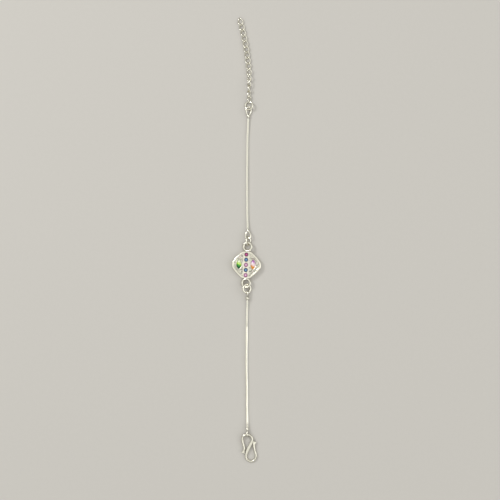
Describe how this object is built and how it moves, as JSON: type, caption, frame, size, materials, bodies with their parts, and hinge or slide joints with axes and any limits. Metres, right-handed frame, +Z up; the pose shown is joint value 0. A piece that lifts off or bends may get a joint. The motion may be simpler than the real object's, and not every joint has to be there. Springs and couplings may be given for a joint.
{
  "type": "chain bracelet",
  "caption": "Silver box-chain bracelet with a diamond-shaped charm set with coloured and clear stones, an S-hook and a curb-link size extender.",
  "frame": {"origin": "centre of the charm's flat back, on the surface that the bracelet lies on", "axes": "+Y runs along the laid-out bracelet from the charm towards the size extender, +Z points up out of the charm's face, +X completes a right-handed frame"},
  "size_m": [0.0134, 0.2029, 0.0031],
  "materials": {
    "silver": "polished sterling silver",
    "magenta_stone": "faceted and polished",
    "blue_stone": "faceted and polished",
    "pink_stone": "faceted and polished",
    "green_stone": "faceted and polished",
    "orange_violet_stone": "faceted and polished",
    "clear_stones_in_silver": "small clear stones held by beads of polished silver"
  },
  "bodies": {
    "root": {"charm_plate": "silver", "round_stone_1": "magenta_stone", "round_stone_2": "blue_stone", "round_stone_3": "pink_stone", "round_stone_4": "blue_stone", "round_stone_5": "pink_stone", "marquise_left": "green_stone", "marquise_right": "orange_violet_stone", "pave_left": "clear_stones_in_silver", "pave_right": "clear_stones_in_silver", "small_link": "silver", "upper_chain_bottom_loop": "silver", "upper_chain": "silver", "upper_chain_top_loop": "silver", "top_jump_ring": "silver", "extender_link_01": "silver", "extender_link_02": "silver", "extender_link_03": "silver", "extender_link_04": "silver", "extender_link_05": "silver", "extender_link_06": "silver", "extender_link_07": "silver", "extender_link_08": "silver", "extender_link_09": "silver", "extender_link_10": "silver", "extender_link_11": "silver", "extender_link_12": "silver", "extender_link_13": "silver", "extender_link_14": "silver", "extender_link_15": "silver", "bottom_jump_ring": "silver", "lower_chain_top_loop": "silver", "lower_chain": "silver", "lower_chain_bottom_loop": "silver", "s_hook": "silver"}
  },
  "joints": []
}
